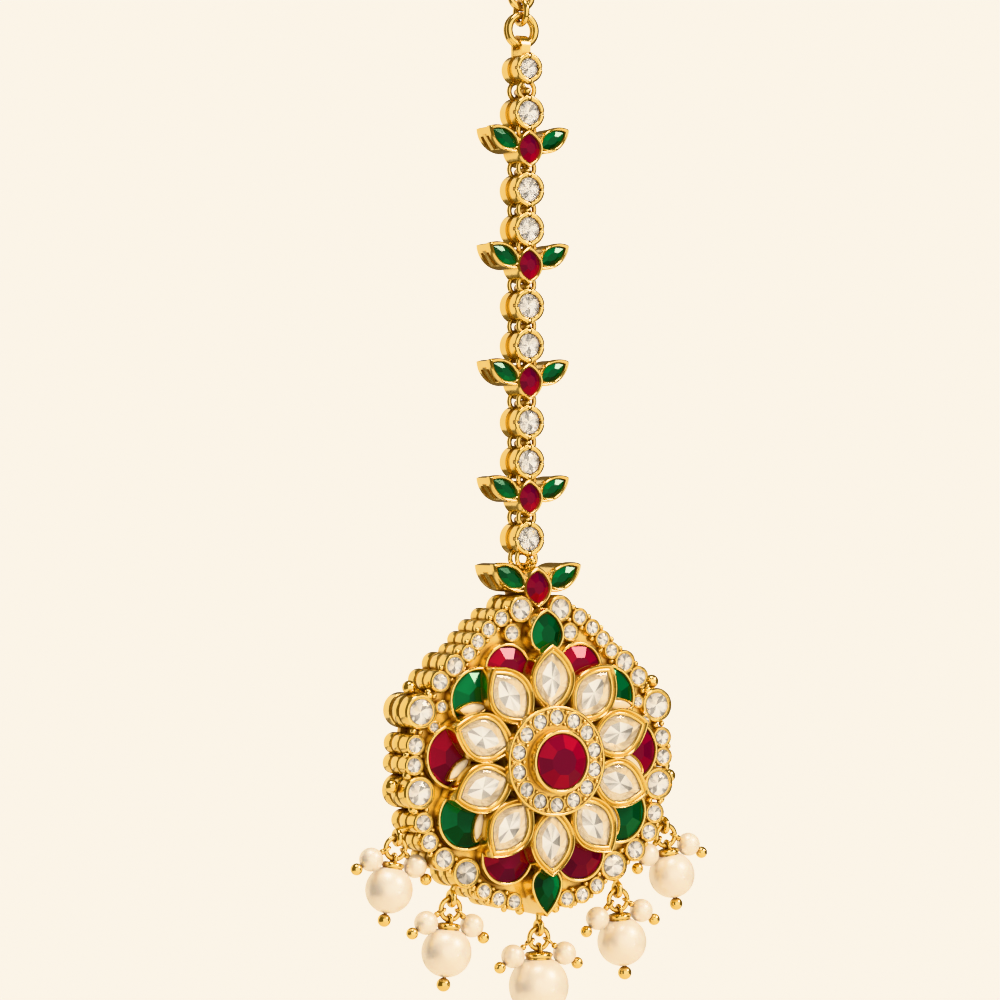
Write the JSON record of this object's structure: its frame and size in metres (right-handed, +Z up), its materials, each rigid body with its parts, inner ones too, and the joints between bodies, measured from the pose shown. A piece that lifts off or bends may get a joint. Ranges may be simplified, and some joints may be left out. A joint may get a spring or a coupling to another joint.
{
  "type": "maang tikka",
  "caption": "Hanging forehead jewel: a wire hair hook, a chain of stone-set links with lotus shapes, and a round flower pendant with pearl drops.",
  "frame": {"origin": "inside of the hook's bend, where a lock of hair carries it", "axes": "+Z up along the hanging chain, -Y out of the jewel's front, +X to the viewer's right"},
  "size_m": [0.0554, 0.02, 0.1548],
  "materials": {
    "gold_plate": "polished warm gold plate",
    "white_stone": "bright cut white stone over foil",
    "foiled_glass": "clear cut glass over white foil",
    "ruby_glass": "deep red cut glass over foil",
    "emerald_glass": "deep green cut glass over foil",
    "pearl": "cream pearl with a soft lustre",
    "mother_of_pearl": "smooth mother-of-pearl"
  },
  "bodies": {
    "chain": {"chain_diamonds": "white_stone", "chain_emeralds": "emerald_glass", "chain_rubies": "ruby_glass", "hair_hook": "gold_plate", "link_rings_back": "gold_plate", "link_rings_front": "gold_plate", "lotus_link_1": "gold_plate", "lotus_link_2": "gold_plate", "lotus_link_3": "gold_plate", "lotus_link_4": "gold_plate", "oval_link": "gold_plate", "round_link_1": "gold_plate", "round_link_2": "gold_plate", "round_link_3": "gold_plate", "round_link_4": "gold_plate", "round_link_5": "gold_plate", "round_link_6": "gold_plate", "round_link_7": "gold_plate", "round_link_8": "gold_plate", "round_link_9": "gold_plate", "top_ring": "gold_plate"},
    "pendant": {"border_stones": "white_stone", "centre_ring_stones": "white_stone", "centre_ruby": "ruby_glass", "crown_emeralds": "emerald_glass", "crown_ruby": "ruby_glass", "drop_mount_1": "gold_plate", "drop_mount_2": "gold_plate", "drop_mount_3": "gold_plate", "drop_mount_4": "gold_plate", "drop_mount_5": "gold_plate", "drop_rings": "gold_plate", "emerald_pears": "emerald_glass", "emerald_stones": "emerald_glass", "main_pearl_1": "pearl", "main_pearl_2": "pearl", "main_pearl_3": "pearl", "main_pearl_4": "pearl", "main_pearl_5": "pearl", "pearl_crescents": "mother_of_pearl", "pendant_frame": "gold_plate", "petal_stone_1": "foiled_glass", "petal_stone_10": "foiled_glass", "petal_stone_2": "foiled_glass", "petal_stone_3": "foiled_glass", "petal_stone_4": "foiled_glass", "petal_stone_5": "foiled_glass", "petal_stone_6": "foiled_glass", "petal_stone_7": "foiled_glass", "petal_stone_8": "foiled_glass", "petal_stone_9": "foiled_glass", "ruby_stones": "ruby_glass", "side_pearls": "pearl"}
  },
  "joints": [
    {"name": "pendant_swing", "type": "hinge", "parent": "chain", "child": "pendant", "pos_m": [0, -0.0037, -0.08898], "axis": [0, 1, 0], "range_deg": [-25, 25]}
  ]
}
